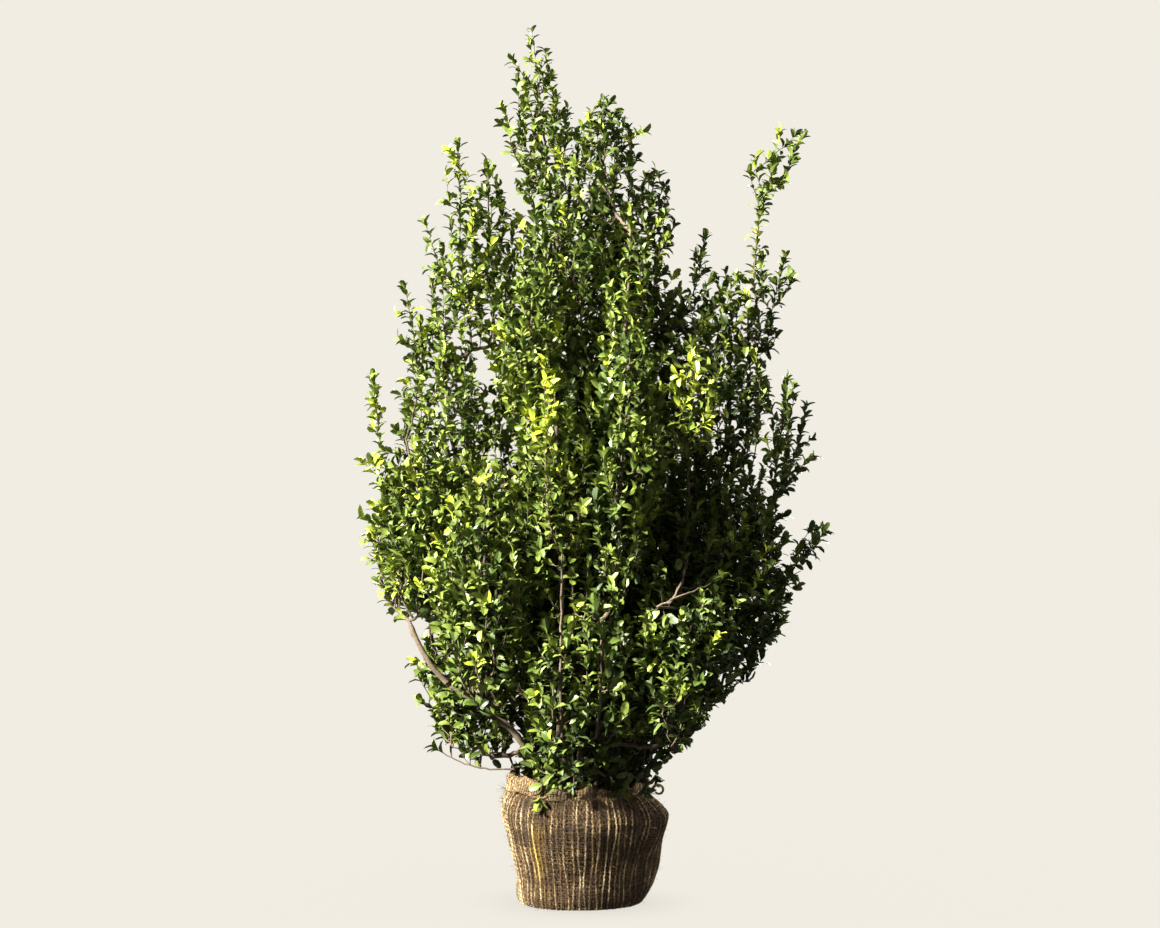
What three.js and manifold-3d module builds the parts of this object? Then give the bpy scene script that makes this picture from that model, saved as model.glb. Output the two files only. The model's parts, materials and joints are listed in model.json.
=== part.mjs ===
// A bushy evergreen hedging plant, lifted from the field with its roots in a ball of soil wrapped in burlap.
// Millimetres, +Z up. The origin is the middle of the flat underside of the root ball, and -Y is the front.
import * as THREE from 'three';
import Module from 'manifold-3d';
import { mergeVertices } from 'three/addons/utils/BufferGeometryUtils.js';

const wasm = await Module();
wasm.setup();

// Driving dimensions
const plantHeight = 1672;      // underside of the ball to the tip of the leader
const crownReach = 430;        // scale of the places across the crown: the outermost side shoots come to about this
const crownDepth = 470;        // scale of the places towards the front and the back
const ballHeight = 228;        // to the soil inside the hem
const ballShoulder = 159;      // radius at the widest height
const ballFoot = 126;          // radius of the flat underside
const gap = 0.5;               // clearance left where one solid is cut round another

const massSides = 8;
const massRings = 6;
const limbSides = 6;
const limbRings = 8;
const ballSides = 28;
const hemSides = 6;

const burlap = new THREE.MeshStandardMaterial({ color: 0x8a6c3c, roughness: 0.95, metalness: 0 });
const bark = new THREE.MeshStandardMaterial({ color: 0x80684a, roughness: 0.85, metalness: 0 });
const darkFoliage = new THREE.MeshStandardMaterial({ color: 0x24401a, roughness: 0.4, metalness: 0 });
const freshFoliage = new THREE.MeshStandardMaterial({ color: 0x86a81e, roughness: 0.45, metalness: 0 });

// ---- Turning geometries into solids and back ----

function solidOf(geometry) {
  const bare = new THREE.BufferGeometry();
  const source = geometry.index ? geometry.toNonIndexed() : geometry;
  bare.setAttribute('position', source.getAttribute('position'));
  const merged = mergeVertices(bare, 1e-3);
  return new wasm.Manifold(new wasm.Mesh({
    numProp: 3,
    vertProperties: merged.attributes.position.array,
    triVerts: new Uint32Array(merged.index.array),
  }));
}

function geometryOf(solid) {
  const mesh = solid.getMesh();
  const geometry = new THREE.BufferGeometry();
  geometry.setAttribute('position', new THREE.BufferAttribute(new Float32Array(mesh.vertProperties), 3));
  geometry.setIndex(new THREE.BufferAttribute(new Uint32Array(mesh.triVerts), 1));
  geometry.computeVertexNormals();
  return geometry;
}

// The largest piece of a solid: a cut can leave slivers beyond the neighbour that it was cut round.
function largestPiece(solid) {
  const pieces = solid.decompose();
  return pieces.reduce((a, b) => (a.volume() > b.volume() ? a : b));
}

// ---- Shapes ----

// Moves every vertex to where place(angle, share, spread) says. angle is the vertex's own angle round the axis,
// share how far up it is, as shareOf gives it, and spread its distance from the axis.
function reshape(geometry, shareOf, place) {
  const position = geometry.getAttribute('position');
  const vertex = new THREE.Vector3();
  for (let i = 0; i < position.count; i++) {
    vertex.fromBufferAttribute(position, i);
    const spread = Math.hypot(vertex.x, vertex.z);
    const angle = Math.atan2(-vertex.z, vertex.x);
    const moved = place(angle, shareOf(vertex), spread);
    position.setXYZ(i, moved.x, moved.y, moved.z);
  }
  return geometry;
}

// A leafy mass: rings round a spine from foot to tip, fullest part-way up, with an uneven outline.
function massShape({ foot, tip, wide, deep, fullest, blunt, seed }, grow) {
  const spine = new THREE.LineCurve3(foot, tip);
  const lift = Math.log(0.5) / Math.log(fullest);
  const sphere = new THREE.SphereGeometry(1, massSides, massRings);
  return reshape(sphere, (v) => 1 - Math.acos(THREE.MathUtils.clamp(v.y, -1, 1)) / Math.PI,
    (angle, share) => {
      const swell = Math.sin(Math.PI * share ** lift) ** blunt;
      const isPole = share < 1e-4 || share > 1 - 1e-4;
      const waves = 1 + 0.09 * Math.sin(3 * angle + 2.1 * seed + 6 * share)
        + 0.07 * Math.sin(2 * angle - 1.7 * seed + 11 * share);
      const point = spine.getPoint(share);
      const size = isPole ? 0 : swell * waves;
      const extra = isPole ? 0 : grow;
      point.x += Math.cos(angle) * (wide * size + extra);
      point.y += Math.sin(angle) * (deep * size + extra);
      point.z += share < 0.5 ? -grow : grow;
      return point;
    });
}

// A stem or bough: a round tapering limb along a smooth curve, with a flare at its foot.
function limbShape({ points, footRadius, tipRadius, flare }, grow) {
  const curve = new THREE.CatmullRomCurve3(points);
  const rod = new THREE.CylinderGeometry(1, 1, 1, limbSides, limbRings);
  return reshape(rod, (v) => v.y + 0.5, (angle, share, spread) => {
    const point = curve.getPointAt(THREE.MathUtils.clamp(share, 0, 1));
    const along = curve.getTangentAt(THREE.MathUtils.clamp(share, 0, 1));
    const side = new THREE.Vector3(0, 1, 0).cross(along).normalize();
    const front = along.clone().cross(side);
    const radius = THREE.MathUtils.lerp(footRadius, tipRadius, share) + flare * Math.exp(-14 * share);
    const reach = spread < 0.5 ? 0 : radius + grow;
    return point.addScaledVector(side, Math.cos(angle) * reach)
      .addScaledVector(front, Math.sin(angle) * reach)
      .addScaledVector(along, share < 0.5 ? -grow : grow);
  });
}

// How far the ball's side stands out at an angle and a height: it sags to the right and is dented by handling.
function ballUnevenness(angle, height) {
  const slump = 0.035 * Math.cos(angle + 0.2) * Math.sin(Math.PI * Math.min(height / ballHeight, 1));
  const dents = 0.016 * Math.sin(3 * angle + 1.1) + 0.011 * Math.sin(5 * angle + 0.4 + height / 60);
  return 1 + slump + dents;
}

function ballShape(grow) {
  // Radius and height up the side, from the middle of the underside to the middle of the soil on top.
  const profile = [
    [0, 0], [ballFoot - 12, 0], [ballFoot - 3, 5], [ballFoot + 1, 18], [ballFoot + 4, 50], [ballFoot + 10, 85],
    [ballFoot + 20, 118], [ballShoulder - 4, 146], [ballShoulder, 166], [ballShoulder - 4, 186],
    [ballShoulder - 14, 206], [ballShoulder - 27, 219], [ballShoulder - 50, ballHeight - 2], [0, ballHeight],
  ];
  const lathe = new THREE.LatheGeometry(profile.map(([r, z]) => new THREE.Vector2(r, z)), ballSides);
  return reshape(lathe, (v) => v.y, (angle, height, spread) => {
    const radius = spread * ballUnevenness(angle, height) + (spread > 0 ? grow : 0);
    return new THREE.Vector3(Math.cos(angle) * radius, Math.sin(angle) * radius, height + grow);
  });
}

// The hem of the burlap, folded over the shoulder and rolled into an uneven ring.
function hemShape() {
  const hemRadius = ballShoulder - 31;
  const hemHeight = ballHeight + 4;
  const torus = new THREE.TorusGeometry(1, 0.08, hemSides, ballSides);
  const position = torus.getAttribute('position');
  const vertex = new THREE.Vector3();
  for (let i = 0; i < position.count; i++) {
    vertex.fromBufferAttribute(position, i);
    const angle = Math.atan2(vertex.y, vertex.x);
    const away = Math.hypot(vertex.x, vertex.y) - 1;
    const ruffle = 0.05 * Math.sin(4 * angle + 0.6) + 0.035 * Math.sin(7 * angle);
    const radius = hemRadius * ballUnevenness(angle, ballHeight) * (1 + away * 0.9 + 0.35 * ruffle);
    const height = hemHeight + vertex.z * 95 + ruffle * 60;
    position.setXYZ(i, Math.cos(angle) * radius, Math.sin(angle) * radius, height);
  }
  return torus;
}

// A frayed end of the hem that curls over beyond the right shoulder.
function curlShape() {
  const curlRadius = 11;
  const turns = 0.8;
  const middle = new THREE.Vector3(ballShoulder - 12, -18, ballHeight - 12);
  const points = [];
  for (let i = 0; i <= 12; i++) {
    const turn = Math.PI * (0.95 - 2 * turns * (i / 12));
    const radius = curlRadius * (1 - 0.28 * (i / 12));
    points.push(new THREE.Vector3(Math.cos(turn) * radius, -4 + i, Math.sin(turn) * radius).add(middle));
  }
  const start = points[0].clone().add(new THREE.Vector3(-14, 2, -9));
  const section = new THREE.Shape();
  section.absarc(0, 0, 3.6, 0, 2 * Math.PI);
  return new THREE.ExtrudeGeometry(section, {
    curveSegments: 3, steps: 20, bevelEnabled: false, extrudePath: new THREE.CatmullRomCurve3([start, ...points]),
  });
}

// ---- Where the stems and masses stand ----

// A place in the crown: across and back as shares of its reach, up as a share of the plant's height.
const at = (across, back, up) => new THREE.Vector3(across * crownReach, back * crownDepth, up * plantHeight);

const limbs = {
  leader_stem: { points: [at(-0.05, 0.03, 0.13), at(-0.06, 0.05, 0.3), at(-0.02, 0.03, 0.5), at(-0.08, 0.02, 0.7),
    at(-0.14, 0.02, 0.8)], footRadius: 14, tipRadius: 4.5, flare: 7 },
  left_bough: { points: [at(-0.275, -0.12, 0.13), at(-0.25, -0.13, 0.18), at(-0.29, -0.14, 0.2), at(-0.44, -0.16, 0.222),
    at(-0.6, -0.16, 0.254), at(-0.7, -0.16, 0.289), at(-0.76, -0.14, 0.325)], footRadius: 9.5, tipRadius: 6, flare: 3 },
  right_bough: { points: [at(0.17, -0.04, 0.13), at(0.2, -0.1, 0.2), at(0.3, -0.2, 0.29), at(0.42, -0.3, 0.355)],
    footRadius: 10, tipRadius: 6, flare: 3 },
  front_left_stem: { points: [at(-0.1, -0.17, 0.13), at(-0.1, -0.36, 0.2), at(-0.09, -0.44, 0.3), at(-0.08, -0.47, 0.4)],
    footRadius: 8, tipRadius: 4.5, flare: 3 },
  front_right_stem: { points: [at(0.06, -0.19, 0.13), at(0.1, -0.34, 0.2), at(0.09, -0.42, 0.26), at(0.08, -0.45, 0.33)],
    footRadius: 9, tipRadius: 6, flare: 3 },
  back_left_stem: { points: [at(-0.14, 0.16, 0.13), at(-0.24, 0.28, 0.2), at(-0.34, 0.38, 0.29), at(-0.4, 0.42, 0.37)],
    footRadius: 9, tipRadius: 6, flare: 3 },
  back_right_stem: { points: [at(0.12, 0.17, 0.13), at(0.2, 0.3, 0.2), at(0.3, 0.38, 0.29), at(0.36, 0.42, 0.37)],
    footRadius: 9, tipRadius: 6, flare: 3 },
};

// Masses of foliage, from the innermost out: foot, tip, half width, half depth, where each is fullest, and how
// quickly it closes at its ends: 0.4 is blunt and 0.8 is pointed.
const masses = [
  ['core_foot', at(0.04, 0.0, 0.14), at(-0.02, 0.0, 0.33), 134, 132, 0.5, 0.38],
  ['core_low', at(0.02, 0.0, 0.22), at(0.02, 0.0, 0.52), 205, 190, 0.5, 0.6],
  ['core_middle', at(0.03, 0.0, 0.42), at(-0.01, 0.0, 0.7), 152, 152, 0.5, 0.6],
  ['core_top', at(0.0, 0.0, 0.6), at(-0.02, 0.0, 0.84), 122, 112, 0.5, 0.6],
  ['leader_spire', at(-0.12, 0.02, 0.76), at(-0.225, 0.0, 1.0), 60, 56, 0.34, 0.7],
  ['leader_side_spray', at(-0.22, 0.02, 0.8), at(-0.355, 0.0, 0.905), 22, 26, 0.55, 0.7],
  ['second_head', at(0.06, -0.04, 0.7), at(0.1, -0.04, 0.915), 68, 64, 0.62, 0.5],
  ['right_shoulder', at(0.2, 0.02, 0.62), at(0.33, 0.02, 0.84), 52, 60, 0.5, 0.6],
  ['left_low', at(-0.52, -0.02, 0.285), at(-0.78, -0.04, 0.53), 112, 130, 0.45, 0.55],
  ['left_middle', at(-0.54, 0.02, 0.42), at(-0.63, 0.02, 0.66), 80, 110, 0.48, 0.6],
  ['left_foot', at(-0.42, -0.02, 0.15), at(-0.58, -0.02, 0.32), 88, 96, 0.5, 0.5],
  ['right_low', at(0.5, 0.0, 0.2), at(0.62, 0.0, 0.505), 148, 160, 0.56, 0.58],
  ['right_middle', at(0.5, 0.06, 0.43), at(0.64, 0.06, 0.72), 118, 118, 0.46, 0.6],
  ['right_foot', at(0.24, 0.0, 0.147), at(0.52, 0.0, 0.34), 112, 106, 0.5, 0.44],
  ['front_low', at(-0.02, -0.36, 0.145), at(0.02, -0.5, 0.37), 104, 92, 0.5, 0.44],
  ['front_left_low', at(-0.4, -0.38, 0.21), at(-0.42, -0.46, 0.5), 92, 98, 0.5, 0.6],
  ['front_right_low', at(0.36, -0.38, 0.17), at(0.44, -0.42, 0.405), 96, 98, 0.5, 0.55],
  ['front_middle', at(-0.08, -0.4, 0.33), at(-0.12, -0.44, 0.6), 84, 86, 0.42, 0.65],
  ['front_right_middle', at(0.2, -0.36, 0.4), at(0.2, -0.36, 0.66), 70, 84, 0.42, 0.65],
  ['front_upper', at(0.16, -0.26, 0.56), at(0.22, -0.28, 0.78), 44, 52, 0.4, 0.7],
  ['front_left_upper', at(-0.24, -0.24, 0.52), at(-0.2, -0.24, 0.76), 56, 62, 0.42, 0.7],
  ['back_foot', at(0.0, 0.36, 0.146), at(0.0, 0.52, 0.38), 106, 88, 0.5, 0.44],
  ['back_low', at(-0.02, 0.5, 0.31), at(0.0, 0.48, 0.6), 112, 96, 0.42, 0.6],
  ['back_left_low', at(-0.4, 0.4, 0.2), at(-0.44, 0.46, 0.52), 100, 98, 0.5, 0.6],
  ['back_right_low', at(0.4, 0.4, 0.17), at(0.46, 0.46, 0.5), 100, 98, 0.5, 0.6],
  ['back_left_middle', at(-0.28, 0.36, 0.46), at(-0.22, 0.3, 0.75), 70, 76, 0.42, 0.65],
  ['back_right_middle', at(0.22, 0.36, 0.46), at(0.2, 0.3, 0.77), 70, 76, 0.42, 0.65],
  ['right_inner_shoot', at(0.46, 0.06, 0.6), at(0.54, 0.06, 0.758), 38, 46, 0.4, 0.7],
  ['left_inner_shoot', at(-0.38, 0.02, 0.61), at(-0.43, 0.02, 0.858), 52, 56, 0.42, 0.7],
  ['left_tall_shoot', at(-0.48, -0.04, 0.6), at(-0.555, -0.04, 0.868), 32, 38, 0.5, 0.6],
  ['left_side_spray', at(-0.52, 0.06, 0.64), at(-0.7, 0.06, 0.772), 32, 40, 0.5, 0.6],
  ['left_fork_shoot', at(-0.6, 0.12, 0.57), at(-0.67, 0.12, 0.706), 28, 36, 0.5, 0.6],
  ['left_outer_shoot', at(-0.66, -0.08, 0.54), at(-0.78, -0.08, 0.7), 30, 36, 0.5, 0.6],
  ['left_far_shoot', at(-0.86, -0.02, 0.44), at(-0.92, -0.02, 0.597), 20, 22, 0.74, 0.6],
  ['left_low_spray', at(-0.84, 0.02, 0.32), at(-0.93, 0.02, 0.425), 25, 40, 0.5, 0.6],
  ['right_tall_shoot', at(0.7, 0.02, 0.56), at(0.79, 0.02, 0.79), 40, 44, 0.36, 0.7],
  ['right_tall_head', at(0.78, 0.02, 0.765), at(0.88, 0.02, 0.874), 46, 40, 0.68, 0.6],
  ['right_side_shoot', at(0.74, 0.1, 0.58), at(0.905, 0.1, 0.732), 32, 36, 0.5, 0.6],
  ['right_outer_shoot', at(0.81, -0.04, 0.4), at(0.905, -0.04, 0.597), 32, 38, 0.5, 0.6],
  ['right_far_shoot', at(0.88, 0.06, 0.44), at(1.0, 0.06, 0.565), 26, 30, 0.6, 0.6],
  ['right_low_spray', at(0.8, 0.0, 0.325), at(1.03, 0.0, 0.42), 36, 56, 0.5, 0.6],
  ['front_right_shoot', at(0.45, -0.32, 0.46), at(0.475, -0.38, 0.632), 50, 50, 0.62, 0.6],
  ['front_centre_shoot', at(-0.14, -0.6, 0.42), at(-0.16, -0.56, 0.61), 34, 34, 0.5, 0.6],
  ['front_side_shoot', at(0.13, -0.5, 0.33), at(0.19, -0.56, 0.57), 56, 50, 0.5, 0.6],
  ['back_tall_shoot', at(-0.02, 0.44, 0.52), at(-0.04, 0.5, 0.7), 36, 36, 0.5, 0.6],
  ['back_side_shoot', at(0.3, 0.54, 0.4), at(0.34, 0.64, 0.6), 40, 38, 0.5, 0.6],
];

const freshMasses = new Set(['leader_spire', 'left_far_shoot', 'right_tall_head', 'left_tall_shoot', 'front_right_shoot',
  'front_centre_shoot']);

// ---- Assembly ----

const plant = new THREE.Group();

function addNode(name, solid, material) {
  const mesh = new THREE.Mesh(geometryOf(solid), material);
  mesh.name = name;
  plant.add(mesh);
}

addNode('root_ball', solidOf(ballShape(0)), burlap);

// Everything already placed, each a little grown, so that what comes later is cut clear of it.
const standing = [solidOf(ballShape(gap))];

function touches(a, b) {
  const boxA = a.boundingBox();
  const boxB = b.boundingBox();
  return [0, 1, 2].every((k) => boxA.min[k] < boxB.max[k] && boxB.min[k] < boxA.max[k]);
}

function cutClear(solid) {
  const near = standing.filter((other) => touches(solid, other));
  return largestPiece(near.reduce((rest, other) => rest.subtract(other), solid));
}

for (const [name, limb] of Object.entries(limbs)) {
  addNode(name, cutClear(solidOf(limbShape(limb, 0))), bark);
}
for (const limb of Object.values(limbs)) standing.push(solidOf(limbShape(limb, gap)));

addNode('burlap_hem', cutClear(solidOf(hemShape())), burlap);
standing.push(solidOf(hemShape()));
addNode('burlap_curl', cutClear(solidOf(curlShape())), burlap);

masses.forEach(([name, foot, tip, wide, deep, fullest, blunt], index) => {
  const mass = { foot, tip, wide, deep, fullest, blunt, seed: index + 1 };
  addNode(name, cutClear(solidOf(massShape(mass, 0))), freshMasses.has(name) ? freshFoliage : darkFoliage);
  standing.push(solidOf(massShape(mass, gap)));
});

export default plant;
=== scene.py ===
# A bushy evergreen hedging plant that stands on its root ball, wrapped in burlap.
# Metres, +Z up, -Y to the front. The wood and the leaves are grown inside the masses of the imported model.
import json
import math

import bmesh
import bpy
import numpy as np
from mathutils import Matrix, Vector, noise
from mathutils.bvhtree import BVHTree

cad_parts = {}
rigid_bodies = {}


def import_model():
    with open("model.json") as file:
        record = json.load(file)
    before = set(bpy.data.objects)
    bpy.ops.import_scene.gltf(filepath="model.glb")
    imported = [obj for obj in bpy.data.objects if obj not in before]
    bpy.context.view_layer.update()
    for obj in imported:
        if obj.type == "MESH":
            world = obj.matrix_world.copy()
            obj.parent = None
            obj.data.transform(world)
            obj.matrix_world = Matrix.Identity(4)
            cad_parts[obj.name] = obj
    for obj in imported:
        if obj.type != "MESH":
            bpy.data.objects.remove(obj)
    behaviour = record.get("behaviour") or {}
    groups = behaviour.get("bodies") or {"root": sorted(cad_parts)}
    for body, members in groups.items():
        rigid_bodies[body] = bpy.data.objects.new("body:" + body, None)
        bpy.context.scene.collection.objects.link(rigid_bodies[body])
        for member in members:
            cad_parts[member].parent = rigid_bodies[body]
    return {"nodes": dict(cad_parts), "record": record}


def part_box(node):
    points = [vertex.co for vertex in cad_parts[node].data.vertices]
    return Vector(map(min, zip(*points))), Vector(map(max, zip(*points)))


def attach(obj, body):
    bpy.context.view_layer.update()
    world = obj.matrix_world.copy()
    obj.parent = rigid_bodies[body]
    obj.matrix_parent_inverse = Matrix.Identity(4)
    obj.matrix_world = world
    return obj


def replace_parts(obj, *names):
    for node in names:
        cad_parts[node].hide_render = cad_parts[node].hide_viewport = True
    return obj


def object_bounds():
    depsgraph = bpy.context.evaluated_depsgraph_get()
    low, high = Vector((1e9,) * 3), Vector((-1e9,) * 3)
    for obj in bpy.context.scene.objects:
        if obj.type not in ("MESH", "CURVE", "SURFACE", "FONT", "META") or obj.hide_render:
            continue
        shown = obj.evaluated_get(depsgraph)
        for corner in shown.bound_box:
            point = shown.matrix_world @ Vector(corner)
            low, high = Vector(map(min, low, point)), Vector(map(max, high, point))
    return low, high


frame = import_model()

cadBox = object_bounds()
rng = np.random.default_rng(2417)
goldenAngle = math.radians(137.5)
upward = np.array([0.0, 0.0, 1.0])

slotOf = {part["node"]: part["material_slot"] for part in frame["record"]["subparts"]}
limbNames = sorted(name for name, slot in slotOf.items() if slot == "bark")
massNames = sorted(name for name, slot in slotOf.items() if slot.endswith("foliage"))
freshMasses = {name for name in massNames if slotOf[name] == "fresh_foliage"}
reach = max(-cadBox[0].x, cadBox[1].x)   # from the middle of the ball to the furthest side shoot
height = cadBox[1].z
print("frame read:", len(limbNames), "limbs and", len(massNames), "masses")


# A shader socket that is added, subtracted and multiplied as a number is
class Wire:
    def __init__(self, graph, socket):
        self.graph, self.socket = graph, socket

    def __add__(self, other):
        return self.graph.maths("ADD", self, other)

    def __sub__(self, other):
        return self.graph.maths("SUBTRACT", self, other)

    def __rsub__(self, other):
        return self.graph.maths("SUBTRACT", other, self)

    def __mul__(self, other):
        return self.graph.maths("MULTIPLY", self, other)

    __radd__ = __add__
    __rmul__ = __mul__


class Graph:
    def __init__(self, name):
        self.material = bpy.data.materials.new(name)
        self.material.use_nodes = True
        self.tree = self.material.node_tree
        self.tree.nodes.clear()

    # Adds a node with its settings and then its inputs, and gives the wire from one of its outputs
    def node(self, kind, settings=None, inputs=None, output=0):
        made = self.tree.nodes.new(kind)
        for key, value in (settings or {}).items():
            if key == "stops":
                self.setStops(made.color_ramp, value)
            else:
                setattr(made, key, value)
        for key, value in (inputs or {}).items():
            if isinstance(value, Wire):
                self.tree.links.new(value.socket, made.inputs[key])
            else:
                made.inputs[key].default_value = value
        return Wire(self, made.outputs[output]) if len(made.outputs) else None

    def setStops(self, ramp, stops):
        while len(ramp.elements) < len(stops):
            ramp.elements.new(1.0)
        for element, (place, shade) in zip(ramp.elements, stops):
            element.position, element.color = place, (shade, shade, shade, 1.0)

    def maths(self, operation, *terms):
        return self.node("ShaderNodeMath", {"operation": operation}, dict(enumerate(terms)))

    def mix(self, factor, first, second):
        first, second = ((*c, 1.0) if isinstance(c, tuple) else c for c in (first, second))
        return self.node("ShaderNodeMix", {"data_type": "RGBA"}, {0: factor, 6: first, 7: second}, 2)

    def place(self, stretch=(1.0, 1.0, 1.0), shift=(0.0, 0.0, 0.0)):
        spot = self.node("ShaderNodeTexCoord", output="Object")
        return self.node("ShaderNodeMapping", None, {"Vector": spot, "Scale": stretch, "Location": shift})

    def noise(self, scale, detail=3.0, stretch=(1.0, 1.0, 1.0)):
        return self.node("ShaderNodeTexNoise", None, {"Vector": self.place(stretch), "Scale": scale,
                                                      "Detail": detail, "Roughness": 0.55})

    def ramp(self, value, stops):
        return self.node("ShaderNodeValToRGB", {"stops": stops}, {0: value})

    # 1 inside a soft ragged patch round a place on the object, and 0 away from it
    def patch(self, middle, half):
        spot = self.place(tuple(1 / h for h in half), tuple(-m / h for m, h in zip(middle, half)))
        away = self.node("ShaderNodeVectorMath", {"operation": "LENGTH"}, {0: spot}, "Value")
        return self.ramp(away + self.noise(60.0, 3.0) * 0.9, [(0.7, 1.0), (1.0, 0.0)])

    def bump(self, value, distance, strength=1.0):
        inputs = {"Height": value, "Distance": distance, "Strength": strength}
        return self.node("ShaderNodeBump", None, inputs)

    def surface(self, inputs):
        shader = self.node("ShaderNodeBsdfPrincipled", None, inputs)
        self.node("ShaderNodeOutputMaterial", None, {"Surface": shader})
        return self.material


# Tubes and leaves are worked out as arrays, and gathered here into one joined mesh
class Heap:
    def __init__(self):
        self.vertices, self.triangles, self.total = [], [], 0

    def add(self, vertices, triangles):
        self.vertices.append(vertices)
        self.triangles.append(triangles + self.total)
        self.total += len(vertices)


def makePiece(name, heap, material):
    mesh = bpy.data.meshes.new(name)
    vertices = np.concatenate(heap.vertices).astype(np.float32)
    triangles = np.concatenate(heap.triangles).astype(np.int32)
    mesh.vertices.add(len(vertices))
    mesh.vertices.foreach_set("co", vertices.ravel())
    mesh.loops.add(triangles.size)
    mesh.loops.foreach_set("vertex_index", triangles.ravel())
    mesh.polygons.add(len(triangles))
    mesh.polygons.foreach_set("loop_start", np.arange(0, triangles.size, 3, dtype=np.int32))
    mesh.polygons.foreach_set("use_smooth", np.full(len(triangles), True))
    mesh.update(calc_edges=True)
    return finishPiece(name, mesh, material)


# A piece from a mesh that was shaped with operators
def makeShaped(name, mesh, material):
    for face in mesh.faces:
        face.smooth = True
    data = bpy.data.meshes.new(name)
    mesh.to_mesh(data)
    mesh.free()
    return finishPiece(name, data, material)


def addThing(name, data):
    thing = bpy.data.objects.new(name, data)
    bpy.context.scene.collection.objects.link(thing)
    return thing


def finishPiece(name, mesh, material):
    mesh.materials.append(material)
    piece = addThing(name, mesh)
    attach(piece, "root")
    print(f"  {name}: {len(mesh.polygons)} faces")
    return piece


def unit(vectors):
    return vectors / np.maximum(np.linalg.norm(vectors, axis=-1, keepdims=True), 1e-9)


# Away from the middle line of the plant at an angle, level or rising
def outwardAt(angle, rise=0.0):
    return np.array([math.cos(angle), math.sin(angle), rise])


# Points along a curve that sets out for one place and bends over to end at another
def bendOver(start, corner, end, shares):
    t = shares[:, None]
    return (1 - t) ** 2 * start + 2 * t * (1 - t) * corner + t ** 2 * end


def soften(line):
    line[1:-1] = (line[:-2] + line[1:-1] * 2 + line[2:]) / 4


# A round tube along points, closed to a point at each end; across is roughly square to all of it
def tube(points, radii, sides, across):
    along = unit(np.gradient(points, axis=0))
    side = unit(np.cross(along, across))
    front = np.cross(side, along)
    turns = np.arange(sides) * 2 * math.pi / sides
    cos, sin = np.cos(turns)[None, :, None], np.sin(turns)[None, :, None]
    ring = cos * side[:, None, :] + sin * front[:, None, :]
    rings = points[:, None, :] + ring * np.asarray(radii)[:, None, None]
    count = len(points)
    vertices = np.concatenate([rings.reshape(-1, 3), points[:1] - along[:1] * radii[0] * 0.5,
                               points[-1:] + along[-1:] * radii[-1] * 1.5])
    row = np.arange(count - 1)[:, None] * sides
    here = np.arange(sides)[None, :]
    there = (here + 1) % sides
    low0, low1, high0, high1 = row + here, row + there, row + sides + here, row + sides + there
    walls = np.concatenate([np.stack([low0, high1, low1], -1).reshape(-1, 3),
                            np.stack([low0, high0, high1], -1).reshape(-1, 3)])
    foot, tip, last = count * sides, count * sides + 1, (count - 1) * sides
    here, there = here[0], there[0]
    ends = np.concatenate([np.stack([np.full(sides, foot), here, there], -1),
                           np.stack([np.full(sides, tip), last + there, last + here], -1)])
    return vertices, np.concatenate([walls, ends])


# The crown's space: which mass fills each small cell, and how deep inside the crown it is
crown = {"cell": 0.009, "deepest": 18, "margin": 6, "narrow": 1500,
         "skirt": {"middle": 0.012, "radius": 0.122, "slope": 0.3, "from": 0.238, "to": 0.33,
                   "bareTo": -0.092},
         "airyToo": ("left_middle", "right_middle"),
         "infill": {"middle": (0.168, 0.075, 1.085), "half": (0.040, 0.095, 0.085), "mass": "core_top"}}


def crossings(tree, x, y, low, high):
    found, z = [], low - 0.01
    while True:
        hit = tree.ray_cast(Vector((x, y, z)), Vector((0, 0, 1)), high - z + 0.02)
        if hit[0] is None:
            return found
        found.append(hit[0].z)
        z = hit[0].z + 1e-5


def treeOf(name):
    mesh = frame["nodes"][name].data
    return BVHTree.FromPolygons([v.co[:] for v in mesh.vertices], [p.vertices[:] for p in mesh.polygons])


def fillCells():
    cell = crown["cell"]
    corner = np.array(cadBox[0]) - crown["margin"] * cell
    shape = np.ceil((np.array(cadBox[1]) - corner) / cell).astype(int) + crown["margin"]
    owner = np.full(shape, -1, np.int16)
    for index, name in enumerate(massNames):
        low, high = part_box(name)
        tree = treeOf(name)
        first = np.floor((np.array(low) - corner) / cell).astype(int)
        last = np.ceil((np.array(high) - corner) / cell).astype(int)
        for i in range(first[0], last[0] + 1):
            for j in range(first[1], last[1] + 1):
                x, y = corner[:2] + (np.array([i, j]) + 0.5) * cell
                levels = crossings(tree, x, y, low.z, high.z)
                for start, end in zip(levels[0::2], levels[1::2]):
                    a, b = ((np.array([start, end]) - corner[2]) / cell - 0.5)
                    owner[i, j, max(math.ceil(a), 0):math.floor(b) + 1] = index
    return corner, owner


# Low sprays close the crown down to the hem, all but round the left bough's foot
def addSkirt(owner):
    skirt = crown["skirt"]
    x, y, z = (corner[k] + (np.arange(owner.shape[k]) + 0.5) * crown["cell"] for k in range(3))
    away = np.hypot(x[:, None] - skirt["middle"], y[None])[:, :, None]
    low = (z > skirt["from"]) & (z < skirt["to"])
    wide = skirt["radius"] + skirt["slope"] * (z - skirt["from"])
    inside = (away < wide) & low & (owner < 0) & (x > skirt["bareTo"])[:, None, None]
    owner[inside] = massNames.index("core_foot")


# Shaded leaves behind join the right shoulder to the shoots beside it
def addInfill(owner):
    infill, apart = crown["infill"], 0.0
    for k, (middle, half) in enumerate(zip(infill["middle"], infill["half"])):
        line = corner[k] + (np.arange(owner.shape[k]) + 0.5) * crown["cell"]
        apart = apart + np.expand_dims(((line - middle) / half) ** 2, tuple({0, 1, 2} - {k}))
    owner[(apart < 1) & (owner < 0)] = massNames.index(infill["mass"])


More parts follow.
